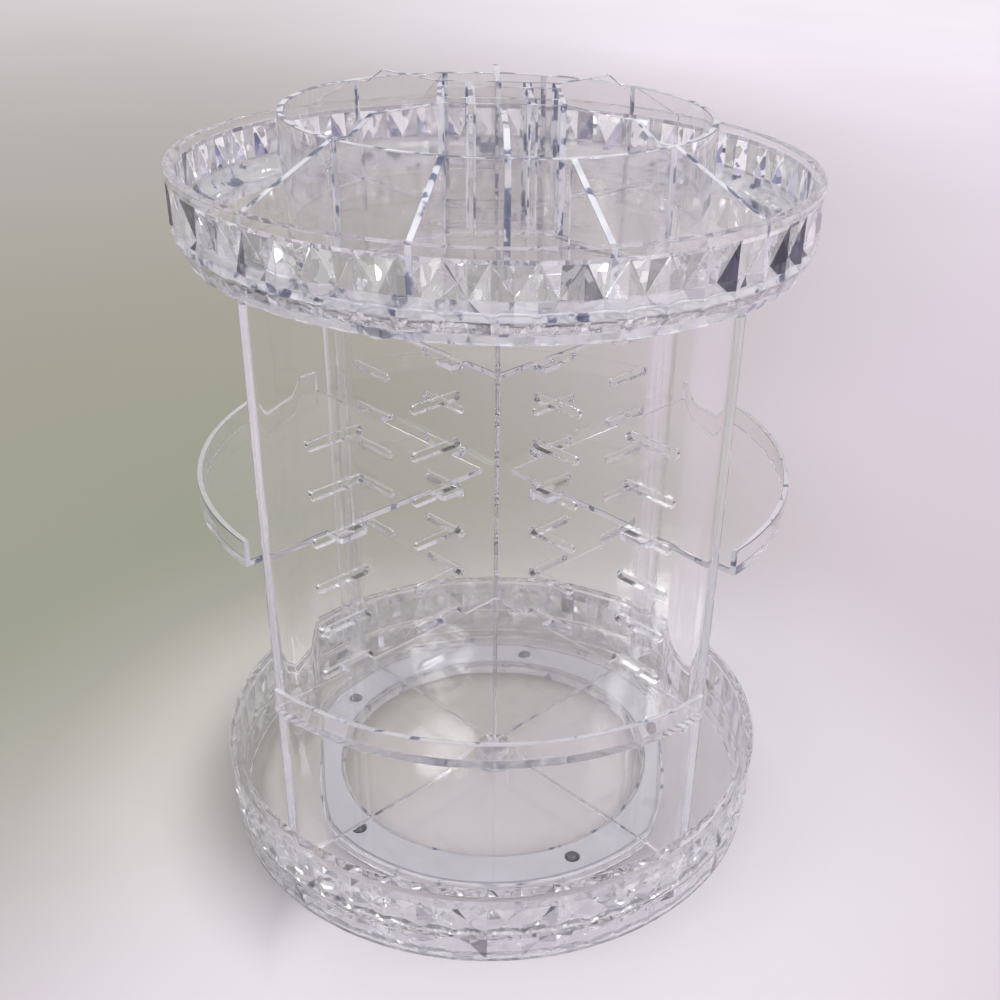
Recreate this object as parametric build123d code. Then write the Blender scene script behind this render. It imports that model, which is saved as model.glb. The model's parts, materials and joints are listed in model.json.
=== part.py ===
from build123d import *
import math
import os

# Sizes are in millimetres, with the origin at the centre of the base's underside and +Z up.
# The front of the organizer faces -Y.

# Steel balls and their cage
BALL_COUNT = 5
BALL_DIAMETER = 6.0
BALL_CIRCLE = 78.0
BALL_START_ANGLE = 80.0
RACE_CLEARANCE = 0.3
CAGE_WIDTH = 14.0
CAGE_THICKNESS = 2.0
POCKET_CLEARANCE = 0.25
GUIDE_CLEARANCE = 0.4

# Radius of the turning base tray and of the shelves, which the other radii follow, and the rims' facets
TRAY_RADIUS = 117.0
FACET_COUNT = 54

# Amount by which a cut runs past what it cuts
CUT_MARGIN = 1.0

# Fixed base disc
BASE_SETBACK = 0.5
BASE_WALL = 3.0
FOOT_HEIGHT = 1.2
FOOT_WIDTH = 5.0
BASE_FLOOR = 2.8
RACE_LAND = 2.7
RACE_DEPTH = 1.1
GUIDE_WALL = 1.5
BASE_FOOT_INSET = 0.6
BASE_STAR_HEIGHT = 8.5
BASE_STAR_DEPTH = 1.6
SOCKET_WALL = 4.4
SOCKET_FLOOR = 2.0

# Pivot under the turning tray
SPIGOT_RADIUS = 5.0
RUNNING_FIT = 0.06
PIVOT_END_GAP = 0.2
SCREW_RADIUS = 2.0
SCREW_HOLE_CLEARANCE = 0.3
SCREW_PILOT_CLEARANCE = 0.05
SCREW_HEAD_RADIUS = 4.0
SCREW_HEAD = 2.0
SCREW_HEAD_ROUND = 0.8
SCREW_RECESS = 0.9
SCREW_COVER = 1.3
WASHER_RADIUS = 6.4
WASHER_THICKNESS = 0.8
WASHER_GAP = 0.15
COUNTERBORE_CLEARANCE = 0.5

# Turning base tray
TRAY_LIP_PROUD = 0.3
TRAY_FOOT_INSET = 0.5
TRAY_WALL = 3.8
TRAY_FLOOR = 4.0
TRAY_RIM_HEIGHT = 20.8
TRAY_LIP_HEIGHT = 3.0
TRAY_STAR_HEIGHT = 3.6
TRAY_STAR_DEPTH = 2.2
SOCKET_HEAD_GAP = 1.0
NEST_DEPTH = 0.3
NEST_CLEARANCE = 0.5
RIM_GAP = 2.7
TRAY_SKIRT_WALL = 1.6
TRAY_SKIRT_DROP = 3.5
TRAY_SKIRT_GAP = 1.5
GROOVE_DEPTH = 1.0
GROOVE_CLEARANCE = 0.1

# Gap that is left between clear pieces where they rest on or meet each other
SEAM = 0.05

# Upright panels
PANEL_COUNT = 4
PANEL_FIRST_ANGLE = 45.0
PANEL_THICKNESS = 2.6
PANEL_HEIGHT = 234.8
PANEL_END_CLEARANCE = 0.7
PANEL_MITRE_GAP = 0.1
PANEL_EDGE_THICKNESS = 5.0
PANEL_EDGE_WIDTH = 20.0
PANEL_TONGUE_INSET = 8.0
SLOT_LENGTH = 24.0
SLOT_HEIGHT = 3.8
SLOT_ROWS = 6
SLOT_PITCH = 19.3
FIRST_SLOT_HEIGHT = 82.5
INNER_SLOT_START = 21.0
OUTER_SLOT_START = 68.0

# Hanging shelves, each by its angle and by the count of slot rows that it leaves free below it
SHELF_ANGLES = {"front": -90.0, "right": 0.0, "back": 90.0, "left": 180.0}
SHELF_ROW_COUNTS = {"front": 0, "right": 3, "back": 5, "left": 3}
SHELF_PLATE = 2.6
SHELF_RIM_HEIGHT = 10.6
SHELF_RIM_WALL = 2.2
SHELF_SIDE_GAP = 3.4
SHELF_RIM_ROUND = 0.75
TAB_REACH = 3.5
TAB_SEAT = 0.05
TAB_SIDE_CLEARANCE = 2.0
INNER_TAB_LENGTH = 10.0
OUTER_TAB_LENGTH = 12.5
TAB_ROOT = 3.0
TAB_CORNER = 1.2

# Top tray
TOP_SETBACK = 1.3
TOP_LIP_PROUD = 0.3
TOP_FOOT_SETBACK = 4.3
TOP_FOOT_INSET = 0.6
TOP_SKIRT_INSET = 0.9
TOP_FOOT_WALL = 3.0
TOP_RECESS = 5.0
TOP_FLOOR = 3.0
TOP_WALL = 3.4
TOP_HEIGHT = 30.0
TOP_LIP_HEIGHT = 3.0
TOP_SKIRT_HEIGHT = 8.5
TOP_STAR_HEIGHT = 14.5
TOP_STAR_DEPTH = 2.2
TOP_CORNER_RADIUS = 6.0
CHANNEL_RIB = 1.6
CHANNEL_RIB_DROP = 4.0
CHANNEL_CLEARANCE = 0.15
CHANNEL_START = 9.0

# Insert that stands in the top tray: divider ring, inner dividers and outer dividers
INSERT_TURN = 3.0
RING_RADIUS = 77.0
RING_WALL = 2.4
RING_HEIGHT = 38.0
INNER_DIVIDER = 2.2
CREST_RISE = 5.5
CREST_END = 8.0
CREST_SLOPE_LENGTH = 9.0
INNER_ANGLES = (45.0, 90.0, 135.0, 225.0, 270.0, 315.0)
OUTER_ANGLES = (45.0, 75.0, 105.0, 135.0, 225.0, 255.0, 285.0, 315.0)
OUTER_DIVIDER = 2.2
OUTER_END_CLEARANCE = 0.5

# Brush holder in the middle of the divider ring
HOLDER_SIDE = 44.0
HOLDER_WALL = 1.6
HOLDER_FLOOR = 1.6
HOLDER_CENTRE_CELL = 19.4
HOLDER_CORNER = 2.0

# Heights and radii that follow from the sizes above
base_floor_top = FOOT_HEIGHT + BASE_FLOOR
base_radius = TRAY_RADIUS - BASE_SETBACK
shelf_radius = TRAY_RADIUS
top_radius = TRAY_RADIUS - TOP_SETBACK
top_foot_radius = top_radius - TOP_FOOT_SETBACK
land_top = base_floor_top + RACE_LAND
race_radius = BALL_DIAMETER / 2 + RACE_CLEARANCE
ball_z = land_top - RACE_DEPTH + race_radius
cage_inner = BALL_CIRCLE - CAGE_WIDTH / 2
cage_outer = BALL_CIRCLE + CAGE_WIDTH / 2
guide_inner = cage_inner - GUIDE_CLEARANCE
guide_outer = cage_outer + GUIDE_CLEARANCE
guide_top = ball_z + CAGE_THICKNESS / 2 - GUIDE_CLEARANCE
tray_underside = ball_z + race_radius
base_top = tray_underside + NEST_DEPTH
tray_floor_top = tray_underside + TRAY_FLOOR
tray_band_bottom = base_top + RIM_GAP
tray_top = tray_band_bottom + TRAY_RIM_HEIGHT
tray_inner = TRAY_RADIUS - TRAY_WALL
base_inner = base_radius - BASE_WALL
panel_reach = tray_inner - PANEL_END_CLEARANCE
panel_foot = tray_floor_top + SEAM
panel_top = panel_foot + PANEL_HEIGHT
top_bottom = panel_top + SEAM
top_floor_bottom = top_bottom + TOP_RECESS
top_floor_top = top_floor_bottom + TOP_FLOOR
top_top = top_bottom + TOP_HEIGHT
insert_bottom = top_floor_top + SEAM
top_inner = top_radius - TOP_WALL
socket_floor_bottom = FOOT_HEIGHT + SCREW_HEAD + WASHER_THICKNESS + WASHER_GAP
socket_floor_top = socket_floor_bottom + SOCKET_FLOOR
spigot_bottom = socket_floor_top + PIVOT_END_GAP
shelf_side_offset = PANEL_THICKNESS / 2 + SHELF_SIDE_GAP
slot_rows = [panel_foot + FIRST_SLOT_HEIGHT + row * SLOT_PITCH for row in range(SLOT_ROWS)]


def turn(angle):
    """Rotation about the organizer's axis."""
    return Rot(0, 0, angle)


def disc(radius, bottom, top):
    """Solid round plate between two heights."""
    return Pos(0, 0, bottom) * extrude(Circle(radius), top - bottom)


def ring(inner, outer, bottom, top):
    """Plain ring between two radii and two heights."""
    return Pos(0, 0, bottom) * extrude(Circle(outer) - Circle(inner), top - bottom)


def ring_points(height, whole_radius, half_radius):
    """Corners of a faceted rim at one height: whole steps and half steps have their own radii."""
    points = []
    for step in range(2 * FACET_COUNT):
        radius = half_radius if step % 2 else whole_radius
        angle = math.pi * step / FACET_COUNT
        points.append(Vector(radius * math.cos(angle), radius * math.sin(angle), height))
    return points


def triangle(a, b, c):
    return Face(Wire.make_polygon([a, b, c], close=True))


def faceted_drum(rings, star_rings):
    """Drum whose side is cut into triangles that meet in stars.

    rings are (height, radius at whole steps, radius at half steps) from the bottom up.
    star_rings names the ring at which the triangles above and below meet in stars.
    """
    levels = [ring_points(*values) for values in rings]
    count = 2 * FACET_COUNT
    faces = [Face(Wire.make_polygon(levels[0][::-1], close=True))]
    for index in range(len(levels) - 1):
        lower = levels[index]
        upper = levels[index + 1]
        stars_below = index in star_rings
        for step in range(count):
            after = (step + 1) % count
            star_first = step % 2 == 0
            if star_first == stars_below:
                faces.append(triangle(lower[step], lower[after], upper[after]))
                faces.append(triangle(lower[step], upper[after], upper[step]))
            else:
                faces.append(triangle(lower[step], lower[after], upper[step]))
                faces.append(triangle(lower[after], upper[after], upper[step]))
    faces.append(Face(Wire.make_polygon(levels[-1], close=True)))
    return Solid(Shell(faces))


def base_disc():
    """Fixed disc: faceted wall, foot ring, ball race between two guide walls, and a centre socket."""
    foot = base_radius - BASE_FOOT_INSET
    rings = [
        (0.0, foot, foot),
        (BASE_STAR_HEIGHT, base_radius - BASE_STAR_DEPTH, base_radius),
        (base_top, base_radius, base_radius),
    ]
    body = faceted_drum(rings, star_rings=[1])
    body -= disc(base_inner, base_floor_top, base_top + CUT_MARGIN)
    body -= disc(base_radius - FOOT_WIDTH, -CUT_MARGIN, FOOT_HEIGHT)
    body += ring(guide_inner - GUIDE_WALL, guide_outer + GUIDE_WALL, base_floor_top, land_top)
    body += ring(guide_inner - GUIDE_WALL, guide_inner, land_top, guide_top)
    body += ring(guide_outer, guide_outer + GUIDE_WALL, land_top, guide_top)
    body -= Pos(0, 0, ball_z) * Torus(BALL_CIRCLE, race_radius)
    socket_radius = SPIGOT_RADIUS + SOCKET_WALL
    body += disc(socket_radius, FOOT_HEIGHT, tray_underside - SOCKET_HEAD_GAP)
    body -= disc(SPIGOT_RADIUS + RUNNING_FIT, socket_floor_top, tray_underside)
    body -= disc(SCREW_RADIUS + SCREW_HOLE_CLEARANCE, 0, tray_underside)
    body -= disc(WASHER_RADIUS + COUNTERBORE_CLEARANCE, 0, socket_floor_bottom)
    return body


def ball_places():
    """Places of the ball centres round the race."""
    step = 360 / BALL_COUNT
    return [turn(BALL_START_ANGLE + i * step) * Pos(BALL_CIRCLE, 0, ball_z) for i in range(BALL_COUNT)]


def ball_cage():
    """Flat ring with a pocket for each ball."""
    cage = ring(cage_inner, cage_outer, ball_z - CAGE_THICKNESS / 2, ball_z + CAGE_THICKNESS / 2)
    pocket = Cylinder(BALL_DIAMETER / 2 + POCKET_CLEARANCE, CAGE_THICKNESS + CUT_MARGIN)
    for place in ball_places():
        cage -= place * pocket
    return cage


def pivot_washer():
    """Washer between the screw's head and the underside of the socket."""
    bottom = socket_floor_bottom - WASHER_GAP - WASHER_THICKNESS
    return ring(SCREW_RADIUS + SCREW_HOLE_CLEARANCE, WASHER_RADIUS, bottom, bottom + WASHER_THICKNESS)


def pivot_screw():
    """Pan-head screw that holds the spigot down in its socket."""
    head_top = socket_floor_bottom - WASHER_GAP - WASHER_THICKNESS
    screw = disc(SCREW_HEAD_RADIUS, head_top - SCREW_HEAD, head_top)
    rim = screw.faces().sort_by(Axis.Z)[0].edges()
    screw = fillet(rim, SCREW_HEAD_ROUND)
    screw += disc(SCREW_RADIUS, head_top, tray_floor_top - SCREW_COVER - SCREW_PILOT_CLEARANCE)
    cross = Box(SCREW_HEAD_RADIUS, SCREW_RECESS, SCREW_HEAD) + Box(SCREW_RECESS, SCREW_HEAD_RADIUS, SCREW_HEAD)
    return screw - Pos(0, 0, head_top - SCREW_HEAD) * cross


def panel_angles():
    step = 360 / PANEL_COUNT
    return [PANEL_FIRST_ANGLE + i * step for i in range(PANEL_COUNT)]


def panel_tongue_plan(clearance):
    """Plan of the tongues along a panel's foot and top, and of the groove that takes the lower one."""
    start = PANEL_TONGUE_INSET - clearance
    end = panel_reach - PANEL_EDGE_WIDTH + clearance
    width = PANEL_THICKNESS + 2 * clearance
    return Pos((start + end) / 2, 0) * Rectangle(end - start, width)


def base_tray():
    """Turning tray: floor with spigot and skirt below, faceted rim, and grooves for the panels."""
    rings = [
        (tray_band_bottom, TRAY_RADIUS - TRAY_FOOT_INSET, TRAY_RADIUS),
        (tray_band_bottom + TRAY_STAR_HEIGHT, TRAY_RADIUS - TRAY_STAR_DEPTH, TRAY_RADIUS),
        (tray_top - TRAY_LIP_HEIGHT, TRAY_RADIUS, TRAY_RADIUS),
    ]
    body = faceted_drum(rings, star_rings=[1])
    body += disc(TRAY_RADIUS + TRAY_LIP_PROUD, tray_top - TRAY_LIP_HEIGHT, tray_top)
    body += disc(base_inner - NEST_CLEARANCE, tray_underside, tray_band_bottom)
    body -= disc(tray_inner, tray_floor_top, tray_top + CUT_MARGIN)
    skirt_inner = guide_outer + GUIDE_WALL + TRAY_SKIRT_GAP
    skirt_bottom = tray_underside - TRAY_SKIRT_DROP
    body += ring(skirt_inner, skirt_inner + TRAY_SKIRT_WALL, skirt_bottom, tray_underside)
    body += disc(SPIGOT_RADIUS, spigot_bottom, tray_underside)
    body -= disc(SCREW_RADIUS + SCREW_PILOT_CLEARANCE, 0, tray_floor_top - SCREW_COVER)
    groove = extrude(panel_tongue_plan(GROOVE_CLEARANCE), GROOVE_DEPTH)
    for angle in panel_angles():
        body -= turn(angle) * Pos(0, 0, tray_floor_top - GROOVE_DEPTH) * groove
    return body


def panel_plan():
    """Plan of one panel along +X: mitred inner edge, flat web and an outer edge that swells."""
    half = PANEL_THICKNESS / 2
    bulge = PANEL_EDGE_THICKNESS / 2
    swell_start = panel_reach - PANEL_EDGE_WIDTH
    swell_end = panel_reach - bulge
    mitre = Polyline((swell_start, half), (PANEL_MITRE_GAP + half, half), (PANEL_MITRE_GAP, 0))
    swell = Spline((swell_start, half), (swell_end, bulge), tangents=[(1, 0), (1, 0)])
    nose = ThreePointArc(
        (swell_end, bulge),
        (swell_end + bulge * math.cos(math.pi / 4), bulge * math.sin(math.pi / 4)),
        (panel_reach, 0),
    )
    outline = mitre + swell + nose
    outline += mirror(outline, Plane.XZ)
    return make_face(outline)


def panel(angle):
    """Upright panel with two columns of slots, and tongues along its foot and its top."""
    body = Pos(0, 0, panel_foot) * extrude(panel_plan(), PANEL_HEIGHT)
    tongue_foot = panel_foot - GROOVE_DEPTH
    tongue_top = top_floor_bottom - SEAM
    body += Pos(0, 0, tongue_foot) * extrude(panel_tongue_plan(0), tongue_top - tongue_foot)
    slot = extrude(Plane.XZ * SlotOverall(SLOT_LENGTH, SLOT_HEIGHT), PANEL_EDGE_THICKNESS, both=True)
    for height in slot_rows:
        for start in (INNER_SLOT_START, OUTER_SLOT_START):
            body -= Pos(start + SLOT_LENGTH / 2, 0, height) * slot
    return turn(angle) * body


def shelf_plan():
    """Plan of a shelf, a quarter sector along +X that keeps clear of the panels beside it."""
    apex = shelf_side_offset * math.sqrt(2)
    reach = math.sqrt(shelf_radius ** 2 - shelf_side_offset ** 2)
    corner = Vector(reach, -shelf_side_offset).rotate(Axis.Z, 45)
    sides = Polyline((corner.X, -corner.Y), (apex, 0), (corner.X, corner.Y))
    rim = ThreePointArc((corner.X, corner.Y), (shelf_radius, 0), (corner.X, -corner.Y))
    return make_face(sides + rim)


def shelf_tab(start, length):
    """Tab that reaches through a panel's slot, for the panel along +X with the shelf below it."""
    reach = PANEL_THICKNESS / 2 + TAB_REACH
    depth = shelf_side_offset + TAB_ROOT + reach
    plan = Pos(start + length / 2, reach - depth / 2) * RectangleRounded(length, depth, TAB_CORNER)
    return extrude(plan, SHELF_PLATE)


def shelf(angle, row):
    """Quarter-round shelf with a rim along its arc and two tabs on each side."""
    plan = shelf_plan()
    body = extrude(plan, SHELF_PLATE)
    body += extrude(plan - Circle(shelf_radius - SHELF_RIM_WALL), SHELF_RIM_HEIGHT)
    uprights = body.edges().filter_by(Axis.Z)
    outer_corners = uprights.filter_by(lambda edge: edge.center().length > shelf_radius)
    body = fillet(outer_corners, SHELF_RIM_ROUND)
    tabs = [
        shelf_tab(INNER_SLOT_START + TAB_SIDE_CLEARANCE, INNER_TAB_LENGTH),
        shelf_tab(OUTER_SLOT_START + TAB_SIDE_CLEARANCE, OUTER_TAB_LENGTH),
    ]
    for tab in tabs:
        left_tab = turn(45) * tab
        body += left_tab
        body += mirror(left_tab, Plane.XZ)
    bottom = slot_rows[row] - SLOT_HEIGHT / 2 + TAB_SEAT
    return turn(angle) * Pos(0, 0, bottom) * body


def top_tray():
    """Tray with a faceted rim that flares from its foot, and channels under its floor for the panels."""
    star = top_bottom + TOP_STAR_HEIGHT
    skirt = top_bottom + TOP_SKIRT_HEIGHT
    rings = [
        (top_bottom, top_foot_radius, top_foot_radius - TOP_FOOT_INSET),
        (skirt, top_radius - TOP_SKIRT_INSET, top_radius),
        (star, top_radius - TOP_STAR_DEPTH, top_radius),
        (top_top - TOP_LIP_HEIGHT, top_radius, top_radius),
    ]
    body = faceted_drum(rings, star_rings=[0, 2])
    body += disc(top_radius + TOP_LIP_PROUD, top_top - TOP_LIP_HEIGHT, top_top)
    cavity = disc(top_inner, top_floor_top, top_top + CUT_MARGIN)
    floor_edge = cavity.faces().sort_by(Axis.Z)[0].edges()
    body -= fillet(floor_edge, TOP_CORNER_RADIUS)
    body -= disc(top_foot_radius - TOP_FOOT_WALL, top_bottom - CUT_MARGIN, top_floor_bottom)
    channel_end = panel_reach - PANEL_EDGE_WIDTH
    rib_offset = PANEL_THICKNESS / 2 + CHANNEL_CLEARANCE + CHANNEL_RIB / 2
    rib_length = channel_end - CHANNEL_START
    rib_plan = Pos(CHANNEL_START + rib_length / 2, 0) * Rectangle(rib_length, CHANNEL_RIB)
    rib = Pos(0, 0, top_floor_bottom - CHANNEL_RIB_DROP) * extrude(rib_plan, CHANNEL_RIB_DROP)
    for angle in panel_angles():
        for side in (-rib_offset, rib_offset):
            body += turn(angle) * Pos(0, side, 0) * rib
    return body


def place_insert(body):
    """Stand a piece of the insert on the top tray's floor, turned with the rest of it."""
    return turn(INSERT_TURN) * Pos(0, 0, insert_bottom) * body


def divider_ring():
    """Ring between the inner and the outer compartments."""
    return place_insert(ring(RING_RADIUS - RING_WALL, RING_RADIUS, 0, RING_HEIGHT))


def inner_divider(angle):
    """Wall from the brush holder to the ring, with a crest that drops to the ring's height."""
    end = RING_RADIUS - RING_WALL / 2
    slope_end = RING_RADIUS - CREST_END
    slope_start = slope_end - CREST_SLOPE_LENGTH
    crest = RING_HEIGHT + CREST_RISE
    side = Polyline(
        (0, 0), (end, 0), (end, RING_HEIGHT), (slope_end, RING_HEIGHT),
        (slope_start, crest), (0, crest), (0, 0)
    )
    body = turn(angle) * extrude(make_face(Plane.XZ * side), INNER_DIVIDER / 2, both=True)
    body &= disc(RING_RADIUS - RING_WALL - SEAM, 0, crest)
    room = HOLDER_SIDE + 2 * SEAM
    return place_insert(body - Box(room, room, 2 * (crest + CUT_MARGIN)))


def outer_divider(angle):
    """Wall from the ring to the tray's rim, whose top slopes down to the tray's lip."""
    start = RING_RADIUS - RING_WALL / 2
    end = top_inner - OUTER_END_CLEARANCE
    low = top_top - top_floor_top
    corner = TOP_CORNER_RADIUS
    side = Polyline(
        (start, 0), (end - corner, 0), (end, corner), (end, low), (RING_RADIUS, RING_HEIGHT),
        (start, RING_HEIGHT), (start, 0)
    )
    body = turn(angle) * extrude(make_face(Plane.XZ * side), OUTER_DIVIDER / 2, both=True)
    return place_insert(body - disc(RING_RADIUS + SEAM, -CUT_MARGIN, RING_HEIGHT + CUT_MARGIN))


def holder_cells():
    """Plans of the holder's cells, as (centre x, centre y, width, depth)."""
    narrow = (HOLDER_SIDE - HOLDER_CENTRE_CELL - 4 * HOLDER_WALL) / 2
    offset = HOLDER_CENTRE_CELL / 2 + HOLDER_WALL + narrow / 2
    columns = [(-offset, narrow), (0.0, HOLDER_CENTRE_CELL), (offset, narrow)]
    return [(x, y, width, depth) for x, width in columns for y, depth in columns]


def brush_holder():
    """Square block of nine open cells for brushes and pencils."""
    height = RING_HEIGHT + CREST_RISE
    body = extrude(RectangleRounded(HOLDER_SIDE, HOLDER_SIDE, HOLDER_CORNER), height)
    for x, y, width, depth in holder_cells():
        cell = extrude(RectangleRounded(width, depth, HOLDER_WALL / 2), height)
        body -= Pos(x, y, HOLDER_FLOOR) * cell
    return place_insert(body)


def all_parts():
    """Every piece of the organizer by its name."""
    parts = {
        "base_disc": base_disc(),
        "ball_cage": ball_cage(),
        "pivot_screw": pivot_screw(),
        "pivot_washer": pivot_washer(),
        "base_tray": base_tray(),
        "top_tray": top_tray(),
        "divider_ring": divider_ring(),
        "brush_holder": brush_holder(),
    }
    for number, place in enumerate(ball_places(), start=1):
        parts[f"steel_ball_{number}"] = place * Sphere(BALL_DIAMETER / 2)
    panel_names = ("panel_back_right", "panel_back_left", "panel_front_left", "panel_front_right")
    for name, angle in zip(panel_names, panel_angles()):
        parts[name] = panel(angle)
    for number, angle in enumerate(INNER_ANGLES, start=1):
        parts[f"inner_divider_{number}"] = inner_divider(angle)
    for number, angle in enumerate(OUTER_ANGLES, start=1):
        parts[f"outer_divider_{number}"] = outer_divider(angle)
    for side, angle in SHELF_ANGLES.items():
        parts[f"shelf_{side}"] = shelf(angle, SHELF_ROW_COUNTS[side])
    return parts


os.makedirs("parts", exist_ok=True)
for name, shape in all_parts().items():
    export_step(shape, f"parts/{name}.step")
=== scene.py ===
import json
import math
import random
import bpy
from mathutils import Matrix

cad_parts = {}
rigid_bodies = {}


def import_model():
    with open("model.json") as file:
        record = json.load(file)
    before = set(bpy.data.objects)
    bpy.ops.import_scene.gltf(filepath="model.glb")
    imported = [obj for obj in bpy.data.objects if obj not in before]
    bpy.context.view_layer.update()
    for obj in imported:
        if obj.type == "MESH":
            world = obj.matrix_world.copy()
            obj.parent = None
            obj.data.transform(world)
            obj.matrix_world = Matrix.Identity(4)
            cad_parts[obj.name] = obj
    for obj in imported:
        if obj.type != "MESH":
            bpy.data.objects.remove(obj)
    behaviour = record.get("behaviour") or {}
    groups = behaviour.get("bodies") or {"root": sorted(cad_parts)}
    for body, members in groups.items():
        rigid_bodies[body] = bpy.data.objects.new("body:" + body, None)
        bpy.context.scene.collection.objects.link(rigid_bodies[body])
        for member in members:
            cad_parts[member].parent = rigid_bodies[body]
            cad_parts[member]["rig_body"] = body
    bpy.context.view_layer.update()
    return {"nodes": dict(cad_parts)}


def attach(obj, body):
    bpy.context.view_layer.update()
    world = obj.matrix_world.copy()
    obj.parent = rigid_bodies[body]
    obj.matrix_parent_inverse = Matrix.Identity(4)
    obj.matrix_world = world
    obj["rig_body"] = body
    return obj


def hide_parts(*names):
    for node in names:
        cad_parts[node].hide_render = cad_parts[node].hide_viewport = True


bl_info = {
    "name": "Rotating Organizer",
    "version": (1, 0, 0),
    "blender": (4, 5, 0),
    "location": "View3D > Sidebar > Organizer",
    "description": "Finishes the clear pieces of a rotating makeup organizer and sets its stage",
    "category": "Object",
}

from collections import namedtuple
import bmesh
import bpy
from mathutils import Matrix, Vector

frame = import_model()
MM = 0.001

# Bounces of light that many clear walls behind each other need
BOUNCES = 28
TRANSPARENT_BOUNCES = 32

# The stage, in metres: the floor, and the lamps by place, width and colour
FLOOR_WIDTH = 60.0
FLOOR_HEIGHT = -0.0002
LAMP_TARGET = (0.0, 0.0, 0.15)
KEY_LAMP = ((0.55, -0.85, 1.05), 0.7, (1.0, 0.97, 0.98))
FILL_LAMP = ((-0.9, -0.4, 0.8), 0.6, (0.97, 1.0, 0.97))
SPARK_WIDTH = 0.1
SPARK_COLOUR = (0.95, 0.98, 1.0)
SPARK_PLACES = (
    (-0.55, -1.0, 0.55), (0.25, -1.1, 0.75), (0.75, -0.7, 0.45), (-0.1, -0.7, 1.5),
    (-1.1, -0.2, 0.8), (1.1, -0.1, 0.9), (0.5, 0.9, 1.2), (-0.5, 0.8, 1.1),
)

# The camera of the photo: place in metres, turn in degrees, shift as a share of the picture's width
CAMERA_PLACE = (0.00873, -0.46024, 0.38261)
CAMERA_YAW, CAMERA_PITCH, CAMERA_ROLL = 2.562, 30.017, -2.347
CAMERA_SHIFT = (-0.0654, 0.0556)
CAMERA_CLIP = (0.01, 50.0)
SENSOR_WIDTH = 36.0

# Light of the room round the object: 0 and 1 are behind it, 0.25 is its left and 0.5 the camera's side
ROOM_ROUND = (
    (0.0, (0.66, 0.62, 0.64)), (0.14, (0.50, 0.47, 0.44)), (0.20, (0.04, 0.05, 0.08)),
    (0.27, (0.02, 0.03, 0.06)), (0.31, (1.30, 1.30, 1.30)), (0.36, (0.20, 0.20, 0.20)),
    (0.42, (0.04, 0.04, 0.06)), (0.47, (0.90, 0.90, 0.95)), (0.53, (0.04, 0.04, 0.06)),
    (0.60, (0.10, 0.10, 0.12)), (0.65, (1.40, 1.38, 1.42)), (0.70, (0.03, 0.04, 0.08)),
    (0.77, (0.03, 0.04, 0.09)), (0.86, (0.60, 0.56, 0.60)), (1.0, (0.66, 0.62, 0.64)),
)
# Light of the room from above, by the upward share of the direction, and where it takes over
ROOM_UP = ((0.0, (0.40, 0.38, 0.40)), (0.6, (0.50, 0.49, 0.50)), (1.0, (0.78, 0.77, 0.78)))
ROOM_RISE = (0.25, 0.7)
# Pale background where the floor ends
HORIZON = (0.92, 0.86, 0.93)

# Colours of the paper floor, with painted shade to the left and painted light to the right, by distance from
# the axis in metres / FAR_PAPER
FAR_PAPER = 6.0
# Painted shade: the dark stretch from about 0.2 to 0.6 m stands for the object's shadow and the backdrop in
# shade
SHADED_LEFT_PAPER = (
    (0.025, (0.60, 0.58, 0.53)), (0.034, (0.40, 0.39, 0.34)), (0.0475, (0.34, 0.35, 0.28)),
    (0.1, (0.38, 0.37, 0.31)), (0.25, (0.48, 0.45, 0.44)), (0.35, (0.57, 0.53, 0.53)),
    (0.55, (0.70, 0.66, 0.68)), (1.0, HORIZON),
)
LIT_RIGHT_PAPER = (
    (0.025, (0.72, 0.675, 0.72)), (0.034, (0.70, 0.64, 0.70)), (0.0475, (0.68, 0.60, 0.66)),
    (0.1, (0.71, 0.63, 0.71)), (0.25, (0.80, 0.72, 0.81)), (0.4, (0.90, 0.83, 0.92)),
    (0.55, HORIZON),
)
# The side of a floor point runs from -1 at the back left to 1 at the front right. The left colours end and
# the right ones are reached at these sides: near the object, from the middle distance on, and far away less
LEFT_SIDE = -0.95
RIGHT_SIDE_NEAR, RIGHT_SIDE_MIDDLE, RIGHT_SIDE_FAR = 0.3, -0.15, -0.42
MIDDLE_DISTANCE = (0.2, 0.5)
FAR_DISTANCE = (1.0, 2.4)
# Painted shade on the floor on the camera's side, seen only in reflections, in place of a dark room: from and
# to this Y, this dark, and pale again far off
AHEAD = (-0.28, -0.9)
AHEAD_SHADE = 0.4
AHEAD_END = (1.0, 2.6)
# Share of the floor's light that is left close to the base on its shaded side, and where, in metres
CONTACT_SHADE = 0.62
CONTACT_DISTANCE = (0.112, 0.155)
CONTACT_SIDE = (-0.35, 0.25)
UNDER_BASE = (0.114, 0.100)
# Distances over which the lit paper becomes a glow of its colour with painted shade and light
PLAIN_DISTANCE = (0.17, 0.32)

# Clear plastic: refraction, bump height in metres, and the share of light that goes straight through each
# kind of face; the rest is matt in the face's colour, which paints light, glints and dark reflections onto
# edges and facets
PLASTIC_IOR = 1.57
BUMP_DEPTH = 0.0004
EDGE_CLEARNESS = 0.70
STREAKED_CLEARNESS = 0.5
BRIGHT_CLEARNESS = 0.74
PANEL_EDGE_CLEARNESS = 0.88
CUT_CLEARNESS = {"base_disc": 0.76, "base_tray": 0.8}
OTHER_CUT_CLEARNESS = 0.9
# Painted reflection: the near black of facets that stand for the dark of the room
PAINTED_DARK_REFLECTION = (0.045, 0.045, 0.065)

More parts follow.
